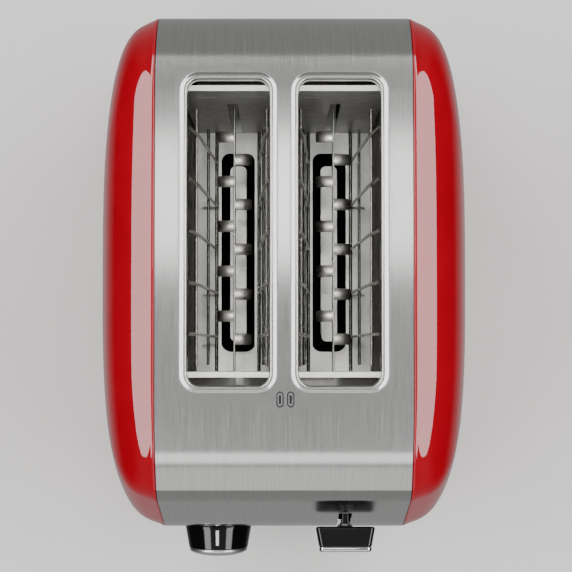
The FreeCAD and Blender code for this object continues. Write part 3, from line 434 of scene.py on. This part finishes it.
# Camera: almost straight above, over the slots' front ends, turned a little to the rear
camera = {"standoff": 790.0, "aheadOfSlots": 55.0, "sideways": -1.0, "aimSideways": 0.9, "aimBack": 29.8,
          "lens": 106.9, "sensor": 36}
eyeY = slotY - camera["aheadOfSlots"]
eye = Vector((camera["sideways"], eyeY, topZ + camera["standoff"])) * mm
aim = Vector((camera["aimSideways"], eyeY + camera["aimBack"], topZ)) * mm
cameraData = bpy.data.cameras.new("camera")
cameraData.lens = camera["lens"]
cameraData.sensor_width = camera["sensor"]
cameraPiece = bpy.data.objects.new("camera", cameraData)
cameraPiece.location = eye
ahead = (aim - eye).normalized()
right = ahead.cross(Vector((0, 1, 0))).normalized()
cameraPiece.rotation_euler = Matrix((right, right.cross(ahead), -ahead)).transposed().to_euler()
bpy.context.scene.collection.objects.link(cameraPiece)
bpy.context.scene.camera = cameraPiece


# the same for the lever's slot
leverRim = [(0.0, -0.5, 0.0, -0.8), (0.06, -0.16, 0.06, -0.8), (0.3, 0.0, 0.3, -0.8), (1.0, 0.0, 1.0, -0.8)]


def makeBand():
    leverX = middleOf("lever_arm")[0]
    frontRun = outline[:, 0] < frontY + 40
    lowS, highS = np.interp((band["leverSlotLow"], band["leverSlotHigh"]),
                            outline[frontRun, 1], outlineRun[frontRun])
    cellHalf = band["slotLength"] / 2 + band["cellMargin"]
    top0, top1 = runAtTop(slotY - cellHalf), runAtTop(slotY + cellHalf)
    cornerX = band["slotWidth"] / 2 - band["slotCorner"]
    cornerS = band["cellMargin"] + band["slotCorner"]
    trayS = outlineRun[-1] - (band["trayTop"] - band["bottomZ"])
    lever0, lever1 = leverX - band["leverCell"], leverX + band["leverCell"]
    leverS0, leverS1 = lowS - band["leverCellEnd"], highS + band["leverCellEnd"]
    acrosses = stepped(-halfBand, 1.2, -slotX - cornerX, 4, cornerX - slotX, 1.2, slotX - cornerX, 3,
                       lever0, 1.0, lever1, 1.2, halfBand)
    trayHalf = band["trayHalf"]
    acrosses[np.abs(acrosses + trayHalf).argmin()] = -trayHalf
    acrosses[np.abs(acrosses - trayHalf).argmin()] = trayHalf
    # steps in millimetres: long on the flats, short round the bends, the lever slot and the slots' corners
    alongs = stepped(0, 6, 95, 1.6, leverS0, 1.0, lowS + 4, 2.0, highS - 4, 1.0, leverS1, 1.6,
                     top0, 1.0, top0 + cornerS, 4, top1 - cornerS, 1.0, top1, 1.4,
                     trayS - 90, 5, trayS, 2, outlineRun[-1])
    x, s = np.meshgrid(acrosses, alongs)
    ids = np.arange(x.size).reshape(x.shape)
    sheet = np.column_stack([x.ravel(), s.ravel(), np.zeros(x.size), x.ravel(), s.ravel(),
                             np.full(x.size, -band["sheet"])])
    kept = np.ones((len(alongs) - 1, len(acrosses) - 1), bool)
    notch = np.ix_((alongs[:-1] >= trayS - 0.01), (np.abs(acrosses[:-1] + np.diff(acrosses) / 2) < trayHalf))
    kept[notch] = False
    width = band["leverSlotWidth"]
    holes = [((lever0, lever1, leverS0, leverS1),
              (leverX, (lowS + highS) / 2, width, highS - lowS, width / 2 - hairline), leverRim)]
    for side in (-1, 1):
        hole = (side * slotX, (top0 + top1) / 2, band["slotWidth"], band["slotLength"], band["slotCorner"])
        holes.append(((*sorted((0.0, side * halfBand)), top0, top1), hole, rimShape))
    added, quads, count = [], [], x.size
    for (x0, x1, s0, s1), hole, rings in holes:
        i0, i1 = (int(np.abs(acrosses - place).argmin()) for place in (x0, x1))
        j0, j1 = (int(np.abs(alongs - place).argmin()) for place in (s0, s1))
        kept[j0:j1, i0:i1] = False
        points, faces = holeLoops(acrosses, alongs, ids, (i0, i1, j0, j1), hole, rings, count)
        added.append(points)
        quads.append(faces)
        count += len(points)
    plain = np.stack([ids[:-1, :-1], ids[:-1, 1:], ids[1:, 1:], ids[1:, :-1]], -1)[kept]
    flat = np.concatenate([sheet] + added)
    faces = np.concatenate([plain] + quads)
    both, faces = closedPair(flat[:, :3], flat[:, 3:], faces)
    makePiece("steelBandSkin", bendSheet(both[:, 0], both[:, 1], both[:, 2]), faces, brushedStainless,
              "housing", "brushed_stainless", ["steel_band"], sharp=50, grain=both[:, :2] * grainScale)


makeBand()
print("steel band made")


# Side covers: red shells bulging out from the band
cover = {"bulge": coverHigh[0] - halfBand, "bottomZ": coverLow[2], "seamRound": 0.9, "seamGap": 0.15,
         "wall": 2.4, "skin": 1.2,
         "steps": 44, "around": 420, "edgeSlope": 0.267, "footRound": 2.5, "softPower": 3.2}


def closedOutline(count):
    # the band's outline closed along the bottom, evenly spaced, starting at the bottom's middle
    foot = cover["bottomZ"]
    corners = [(0.0, foot), (frontY, foot), *outlineCorners[1:-1], (rearY, foot), (0.0, foot)]
    path = arcPath(corners, (cover["footRound"], *band["bendRadii"], cover["footRound"]))
    run = np.concatenate([[0], np.cumsum(np.linalg.norm(np.diff(path, axis=0), axis=1))])
    even = np.linspace(0, run[-1], count, endpoint=False)
    return np.stack([np.interp(even, run, path[:, 0]), np.interp(even, run, path[:, 1])], -1)


def makeCover(side, name):
    # rings of the outline shrink to r and turn into a soft oval as they rise, with
    # r = (1 - edgeSlope * rise * (1 - rise)**2 - rise**3) ** (1 / 2.2)
    ring = closedOutline(cover["around"])
    centre = np.array([(frontY + rearY) / 2, (topZ + cover["bottomZ"]) / 2])
    away = ring - centre
    angle = np.arctan2(away[:, 1], away[:, 0])
    half = np.array([(rearY - frontY) / 2, (topZ - cover["bottomZ"]) / 2])
    power = cover["softPower"]
    direction = np.stack([np.cos(angle), np.sin(angle)], -1)
    oval = np.sum(np.abs(direction / half) ** power, axis=1) ** (-1 / power)
    soft = centre + oval[:, None] * direction
    turn = np.gradient(np.concatenate([ring[-1:], ring, ring[:1]]), axis=0)[1:-1]
    inward = np.stack([-turn[:, 1], turn[:, 0]], -1) / np.linalg.norm(turn, axis=1, keepdims=True)
    inward *= np.sign(np.sum(inward * (centre - ring), axis=1, keepdims=True))
    rows = []

    def addRow(shape, x):
        rows.append(np.concatenate([np.full((len(shape), 1), side * x), shape], 1))

    seamRound = cover["seamRound"]
    x0 = halfBand + cover["seamGap"]
    addRow(ring + inward * cover["wall"], x0)
    for turnBy in np.linspace(0, math.pi / 2, 5):
        addRow(ring + inward * seamRound * (1 - math.sin(turnBy)), x0 + seamRound * (1 - math.cos(turnBy)))
    start = x0 + seamRound
    height = halfBand + cover["bulge"] - start
    for step in np.linspace(0, 1, cover["steps"])[1:]:
        rise = math.sin(step * math.pi / 2)
        r = max(1 - cover["edgeSlope"] * rise * (1 - rise) ** 2 - rise ** 3, 0.0) ** (1 / 2.2)
        mix = r ** 3
        shape = centre + r * (mix * (ring - centre) + (1 - mix) * (soft - centre))
        addRow(shape, start + height * rise)
    points = np.concatenate(rows)
    faces = gridFaces(len(rows), cover["around"], closed=True, flip=side > 0)
    piece = makePiece(name + "Skin", points, faces, redEnamel, "housing", "red_enamel", [name], sharp=50)
    thick = piece.modifiers.new("wall", "SOLIDIFY")
    thick.thickness = cover["skin"] * mm
    thick.offset = -1


for side, name in ((-1, "side_cover_left"), (1, "side_cover_right")):
    makeCover(side, name)
print("side covers made")


# Knob with its bezel, domed cap and white line; profiles are (radius, distance ahead of the front)
knob = {"backRadius": 18.0, "frontRadius": 15.9, "depth": 12.6, "gap": 3.4,
        "bezelRadius": 19.4, "bezelDepth": 3.0, "bezelBore": 8.0,
        "capRise": 4.5, "pointerWidth": 1.7, "pointerStart": 2.0, "pointerEnd": 10.2}


def makeKnob():
    x, z = middleOf("browning_knob")[[0, 2]]
    centre, ahead = (x, frontY, z), (0, -1.0, 0)
    rim, bore, deep = knob["bezelRadius"], knob["bezelBore"], knob["bezelDepth"]
    bezel = [(bore, 0.0), (rim - 0.05, 0.0), (rim, 0.5), (rim - 0.1, 1.0), (rim - 0.45, 1.2),
             (rim - 0.45, 1.5), (rim - 0.15, 1.7), (rim - 0.3, 2.4), (rim - 0.8, 2.85), (rim - 1.6, deep),
             (bore, deep), (bore, 0.0)]
    makePiece("knobBezelSkin", *lathe(bezel, centre, ahead), brightChrome, "housing", "chrome_trim",
              ["knob_bezel"])
    back, front = knob["gap"], knob["gap"] + knob["depth"]
    wide, slim = knob["backRadius"], knob["frontRadius"]
    inner = wide - 2.2
    side = [(wide - (wide - slim) * share, back + 0.5 + (front - back - 0.5) * share)
            for share in np.linspace(0, 1, 12)]
    body = [(0.0, back + 1.0), (inner, back + 1.0), (inner + 0.1, back), (wide - 0.5, back),
            (wide - 0.12, back + 0.15), *side[:-1], (slim + 0.05, front - 0.25), (slim - 0.25, front),
            (0.0, front)]
    makePiece("browningKnobSkin", *lathe(body, centre, ahead, 128), glossAbs, "browning_control",
              "gloss_black", ["browning_knob"], sharp=30)
    radius, rise = slim - 0.35, knob["capRise"]
    dome = [(radius * math.cos(turn), front + 1.0 + (rise - 1.0) * math.sin(turn))
            for turn in np.linspace(0.12, math.pi / 2, 16)]
    cap = [(0.0, front + 0.02), (radius - 0.3, front + 0.02), (radius, front + 0.3),
           (radius, front + 0.9), *dome[:-1], (0.0, front + rise)]
    makePiece("knobCapSkin", *lathe(cap, centre, ahead, 128), spunAluminium, "browning_control",
              "satin_silver", ["knob_cap"], sharp=50)
    # the white line lies on the knob's side: a thin bar bent round it
    turns = np.linspace(-1, 1, 7) * knob["pointerWidth"] / 2 / wide
    along = np.linspace(knob["pointerStart"], knob["pointerEnd"], 8)
    u, v = np.meshgrid(turns, along)
    rows = []
    for lift in (-0.3, 0.12):
        radius = wide - (wide - slim) * (v - 0.5) / (knob["depth"] - 0.5) + lift
        bar = np.stack([x + radius * np.sin(u), frontY - back - v, z + radius * np.cos(u)], -1)
        rows.append(bar.reshape(-1, 3))
    makePiece("knobPointerSkin", *closedPair(rows[1], rows[0], gridFaces(8, 7, flip=True)), whiteInk,
              "browning_control", "white_mark", ["knob_pointer"])


# Lever: a tapered block on a flared neck, with a plated front
lever = {"backWidth": 29.1, "frontWidth": 25.6, "height": 14.0, "depth": 10.0, "lean": 7.0, "corner": 2.2,
         "neck": 3.4, "neckHeight": 8.0, "neckLength": 6.8, "neckGap": 0.2}


def stacked(rings):  # rounded loops (distance ahead, width, height, corner radius) joined into one solid
    rows = [np.column_stack([ring[:, 0], np.full(len(ring), -ahead), ring[:, 1]])
            for ahead, ring in ((ahead, roundedRing(*size)) for ahead, *size in rings)]
    return capped(rows)


def leanForward(points, centre):
    turn = math.radians(lever["lean"])
    y, z = points[:, 1].copy(), points[:, 2].copy()
    return centre + np.column_stack([points[:, 0], y * math.cos(turn) + z * math.sin(turn),
                                     -y * math.sin(turn) + z * math.cos(turn)])


def makeLever():
    armLow, armHigh = box("lever_arm")
    neck, neckHeight = lever["neck"], lever["neckHeight"]
    centre = np.array([(armLow[0] + armHigh[0]) / 2, armLow[1] - lever["neckLength"] - lever["neckGap"],
                       armHigh[2] - neckHeight / 2])
    w0, w1, h = lever["backWidth"], lever["frontWidth"], lever["height"]
    front, corner = lever["depth"], lever["corner"]
    rings = [(0.0, w0 - 2.4, h - 2.4, corner - 0.8), (0.15, w0 - 1.2, h - 1.2, corner - 0.3),
             (0.7, w0 - 0.1, h - 0.1, corner)]
    rings += [(ahead, w0 - (w0 - w1) * (ahead - 0.7) / (front - 0.7), h - 0.6 * ahead / front, corner)
              for ahead in np.linspace(1.6, front - 0.9, 6)]
    rings += [(front - 0.5, w1 + 0.05, h - 0.6, corner), (front - 0.1, w1 - 0.5, h - 1.1, corner - 0.2),
              (front - 0.02, w1 - 1.4, h - 2.0, corner - 0.6)]
    points, faces = stacked(rings)
    makePiece("leverHeadSkin", leanForward(points, centre), faces, glossAbs, "carriage", "gloss_black",
              ["lever_head"], sharp=35)
    plate = [(front, w1 - 1.2, h - 1.8, corner - 0.5), (front + 0.1, w1 - 0.3, h - 0.9, corner - 0.1),
             (front + 0.5, w1, h - 0.6, corner), (front + 1.2, w1, h - 0.6, corner),
             (front + 1.8, w1 - 0.3, h - 0.9, corner), (front + 2.2, w1 - 1.1, h - 1.7, corner - 0.3),
             (front + 2.38, w1 - 2.4, h - 3.0, corner - 0.8)]
    points, faces = stacked(plate)
    makePiece("leverPlateSkin", leanForward(points, centre), faces, brightChrome, "carriage", "chrome_trim",
              ["lever_plate"], sharp=50)
    flare = [(-lever["neckLength"], neck, neckHeight, 0.6), (-4.5, neck, neckHeight, 0.8),
             (-2.6, neck + 0.5, neckHeight, 0.9), (-1.2, neck + 2.0, neckHeight + 0.2, 1.0),
             (-0.3, neck + 4.2, neckHeight + 0.6, 1.1), (0.4, neck + 4.6, neckHeight + 0.8, 1.1)]
    points, faces = stacked(flare)
    makePiece("leverNeck", centre + points, faces, glossAbs, "carriage", "gloss_black", sharp=50)


# Push button in its ring
button = {"radius": 4.2, "back": -2.4, "ringRadius": 5.6, "ringBore": 4.45, "ringDepth": 1.6}


def makeButton():
    x, z = middleOf("front_button")[[0, 2]]
    centre, ahead = (x, frontY, z), (0, -1.0, 0)
    rim, bore, deep = button["ringRadius"], button["ringBore"], button["ringDepth"]
    ring = [(bore, 0.0), (rim, 0.0), (rim, 0.9), (rim - 0.25, 1.4), (rim - 0.6, deep),
            (bore + 0.15, deep - 0.1), (bore, 1.2), (bore, 0.0)]
    makePiece("buttonRingSkin", *lathe(ring, centre, ahead, 72), brightChrome, "housing", "chrome_trim",
              ["button_bezel"])
    radius, back = button["radius"], button["back"]
    cap = [(0.0, back), (radius, back), (radius, 1.9), (radius - 0.25, 2.3), (radius - 0.8, 2.5), (2.6, 2.45),
           (1.3, 2.25), (0.0, 2.2)]
    makePiece("buttonCapSkin", *lathe(cap, centre, ahead, 72), glossAbs, "button", "gloss_black",
              ["front_button"], sharp=30)


makeKnob()
makeLever()
makeButton()
print("front controls made")


# Two plain rounded rings printed between the slots, the sign for bread slots
sign = {"aheadOfSlots": 77.95, "sideways": 0.6, "apart": 5.0, "inkTop": 0.05, "inkFoot": -0.1}
# each mark as (width, length, corner radius) of its outer edge and then its inner edge
signMarks = [((3.4, 7.4, 1.69), (2.4, 6.2, 1.19)), ((1.1, 4.0, 0.54), (0.05, 2.6, 0.02))]


def makeSlotSign():
    spots = []
    for side in (-1, 1):
        centre = [side * sign["apart"] / 2 + sign["sideways"], slotY - sign["aheadOfSlots"]]
        for edges in signMarks:
            flat = np.concatenate([roundedRing(*edge, 10) + centre for edge in edges])
            high, low = (atHeight(flat, sign[key]) for key in ("inkTop", "inkFoot"))
            spots.append(closedPair(high, low, gridFaces(2, 40, closed=True)))
    points, faces = joinParts(spots)
    tops = outline[:, 1] > topZ - topMargin
    points[:, 2] += np.interp(points[:, 1], outline[tops, 0], outline[tops, 1])
    makePiece("slotSign", points, faces, blackInk, "housing", "gloss_black", sharp=60)


makeSlotSign()
print("slot sign made")


# Bread lifters: a thin upright plate with bowed tabs on both sides
lifter = {"thickness": 1.0, "height": 9.0, "reach": 9.2, "width": 6.0, "sheet": 0.8, "drop": 2.6,
          "pitch": 23.6, "count": 5, "rightShift": -2.1, "leftShift": 10.0, "root": 0.1, "below": 0.05}


def makeLifter(node):
    low, high = box(node)
    x, half, top = (low[0] + high[0]) / 2, lifter["thickness"] / 2, high[2]
    bottom = top - lifter["height"]
    # the plate's top edge is softly rounded
    ring = np.array([(half, bottom), (half, top - 0.3), (half - 0.12, top - 0.08), (half - 0.35, top),
                     (0.35 - half, top), (0.12 - half, top - 0.08), (-half, top - 0.3), (-half, bottom)])
    plate = [np.column_stack([x + ring[:, 0], np.full(len(ring), y), ring[:, 1]])
             for y in np.linspace(low[1], high[1], 120)]
    parts = [capped(plate)]
    # a tab is a flat bar with eased edges that sinks towards its tip by (drop - sheet) * share**2.6
    share = np.linspace(0, 1, 14)
    barY = np.array([1, 1, 0.9, -0.9, -1, -1, -0.9, 0.9])
    barZ = np.array([-0.15, -0.65, -0.8, -0.8, -0.65, -0.15, 0, 0])
    reach = lifter["reach"] - half + lifter["root"]
    height = top - lifter["below"] - (lifter["drop"] - lifter["sheet"]) * share ** 2.6
    width = lifter["width"] / 2 - 0.5 * share ** 12
    for side, shift in ((-1, lifter["leftShift"]), (1, lifter["rightShift"])):
        across = x + side * (half - lifter["root"] + share * reach)
        for index in range(lifter["count"]):
            y = slotY + shift + (index - (lifter["count"] - 1) / 2) * lifter["pitch"]
            rows = [np.column_stack([np.full(8, placeX), y + barY * wide, z + barZ])
                    for placeX, wide, z in zip(across, width, height)]
            parts.append(capped(rows, flip=side < 0))
    points, faces = joinParts(parts)
    makePiece(node + "_skin", points, faces, pressedSteel, "carriage", "lifter_steel", [node], sharp=40)


for name in ("bread_lifter_left", "bread_lifter_right"):
    makeLifter(name)
print("lifters made")


# A loop of dark painted shade on the tray below each slot, a flat layer on its sheet that stands in for the
# shadowed gutter
gutter = {"width": 20.0, "length": 115.0, "corner": 6.0,
          "island": 9.4, "islandLength": 99.0, "islandCorner": 3.0, "behind": 1.5, "sheet": 0.8, "film": 0.25}


def makeGutters():
    bottom = box("crumb_tray")[0][2] + gutter["sheet"]
    parts = []
    for side in (-1, 1):
        centre = [side * slotX, slotY + gutter["behind"]]
        outer = roundedRing(gutter["width"], gutter["length"], gutter["corner"]) + centre
        inner = roundedRing(gutter["island"], gutter["islandLength"], gutter["islandCorner"]) + centre
        flat = np.concatenate([outer, inner])
        high, low = atHeight(flat, bottom + gutter["film"]), atHeight(flat, bottom)
        parts.append(closedPair(high, low, gridFaces(2, 32, closed=True)))
    points, faces = joinParts(parts)
    # the dark loop is painted shade where the gutter's shadow falls
    makePiece("trayGutterFilm", points, faces, paintedGutterShade, "tray", "dark_component", sharp=40)


makeGutters()
print("tray film made")


# Plain pale floor, seen by the camera but not mirrored in the steel
floorHalf, floorLines = 1600.0, 9


def makeFloor():
    across = np.linspace(-floorHalf, floorHalf, floorLines)
    x, y = np.meshgrid(across, across)
    points = np.stack([x.ravel(), y.ravel(), np.zeros(x.size)], -1) * mm
    mesh = bpy.data.meshes.new("floor")
    mesh.from_pydata(points.tolist(), [], gridFaces(floorLines, floorLines).tolist())
    piece = bpy.data.objects.new("floor", mesh)
    bpy.context.scene.collection.objects.link(piece)
    mesh.materials.append(makeVaried("paleFloor", "#dcdcda", "#e2e2e0", 8, {"IOR": 1.45}, (0.6, 0.7), 0.02))
    piece.visible_glossy = False


lamps = {  # place, target, size across, size the other way (metres), brightness
    "topSoftbox": ((0, 0.148, 1.4), (0, 0.148, 0.2), 0.34, 0.16, 5.0),
    "frontSoftbox": ((0, -0.97, 1.0), (0, -0.08, 0.19), 0.9, 0.15, 1.8),
    "frontFill": ((0, -1.2, 0.66), (0, -0.08, 0.19), 0.9, 0.6, 0.75),
    "stripLeft": ((-0.76, 0.25, 0.915), (-0.07, 0.25, 0.19), 2.4, 0.48, 6.0),
    "stripRight": ((0.76, 0.25, 0.915), (0.07, 0.25, 0.19), 2.4, 0.48, 6.0),
}
slotLamp = {"place": (0, 0.07, 1.3), "size": 0.2, "brightness": 16.0,
            "lights": ("chamber_", "bread_lifter", "guard_", "crumb_tray", "heater", "mica")}
tentEdge = {"From Min": 0.35, "From Max": 0.8, "To Min": 0.34, "To Max": 0.02}  # strength against |x|


def makeLamps():
    for name, (place, target, width, length, brightness) in lamps.items():
        light = bpy.data.lights.new(name, "AREA")
        light.shape = "RECTANGLE"
        light.size, light.size_y = width, length
        light.energy = brightness * math.pi * width * length
        lamp = bpy.data.objects.new(name, light)
        lamp.location = place
        lamp.rotation_mode = "QUATERNION"
        lamp.rotation_quaternion = (Vector(target) - Vector(place)).to_track_quat("-Z", "Y")
        bpy.context.scene.collection.objects.link(lamp)


def makeWorld():
    world = bpy.data.worlds.new("studio")
    world.use_nodes = True
    # bright in front, above and behind, and dark to the left and right
    nodes, links = world.node_tree.nodes, world.node_tree.links
    place = nodes.new("ShaderNodeTexCoord")
    axes = nodes.new("ShaderNodeSeparateXYZ")
    aside = nodes.new("ShaderNodeMath")
    aside.operation = "ABSOLUTE"
    tent = nodes.new("ShaderNodeMapRange")
    for key, value in tentEdge.items():
        tent.inputs[key].default_value = value
    links.new(place.outputs["Generated"], axes.inputs["Vector"])
    links.new(axes.outputs["X"], aside.inputs[0])
    links.new(aside.outputs["Value"], tent.inputs["Value"])
    links.new(tent.outputs["Result"], nodes["Background"].inputs["Strength"])
    nodes["Background"].inputs["Color"].default_value = hexColour("#ffffff")
    bpy.context.scene.world = world


def makeSlotLight():
    # one lamp straight above the slots that lights only what stands inside them
    inside = bpy.data.collections.new("insideSlots")
    for piece in bpy.data.objects:
        if piece.type == "MESH" and piece.name.startswith(slotLamp["lights"]):
            inside.objects.link(piece)
    light = bpy.data.lights.new("slotLight", "AREA")
    light.shape, light.size, light.size_y = "RECTANGLE", slotLamp["size"], slotLamp["size"]
    light.energy = slotLamp["brightness"] * math.pi * slotLamp["size"] ** 2
    lamp = bpy.data.objects.new("slotLight", light)
    lamp.location = slotLamp["place"]
    bpy.context.scene.collection.objects.link(lamp)
    lamp.light_linking.receiver_collection = inside


makeFloor()
makeLamps()
makeWorld()
makeSlotLight()
print("floor and lights made")
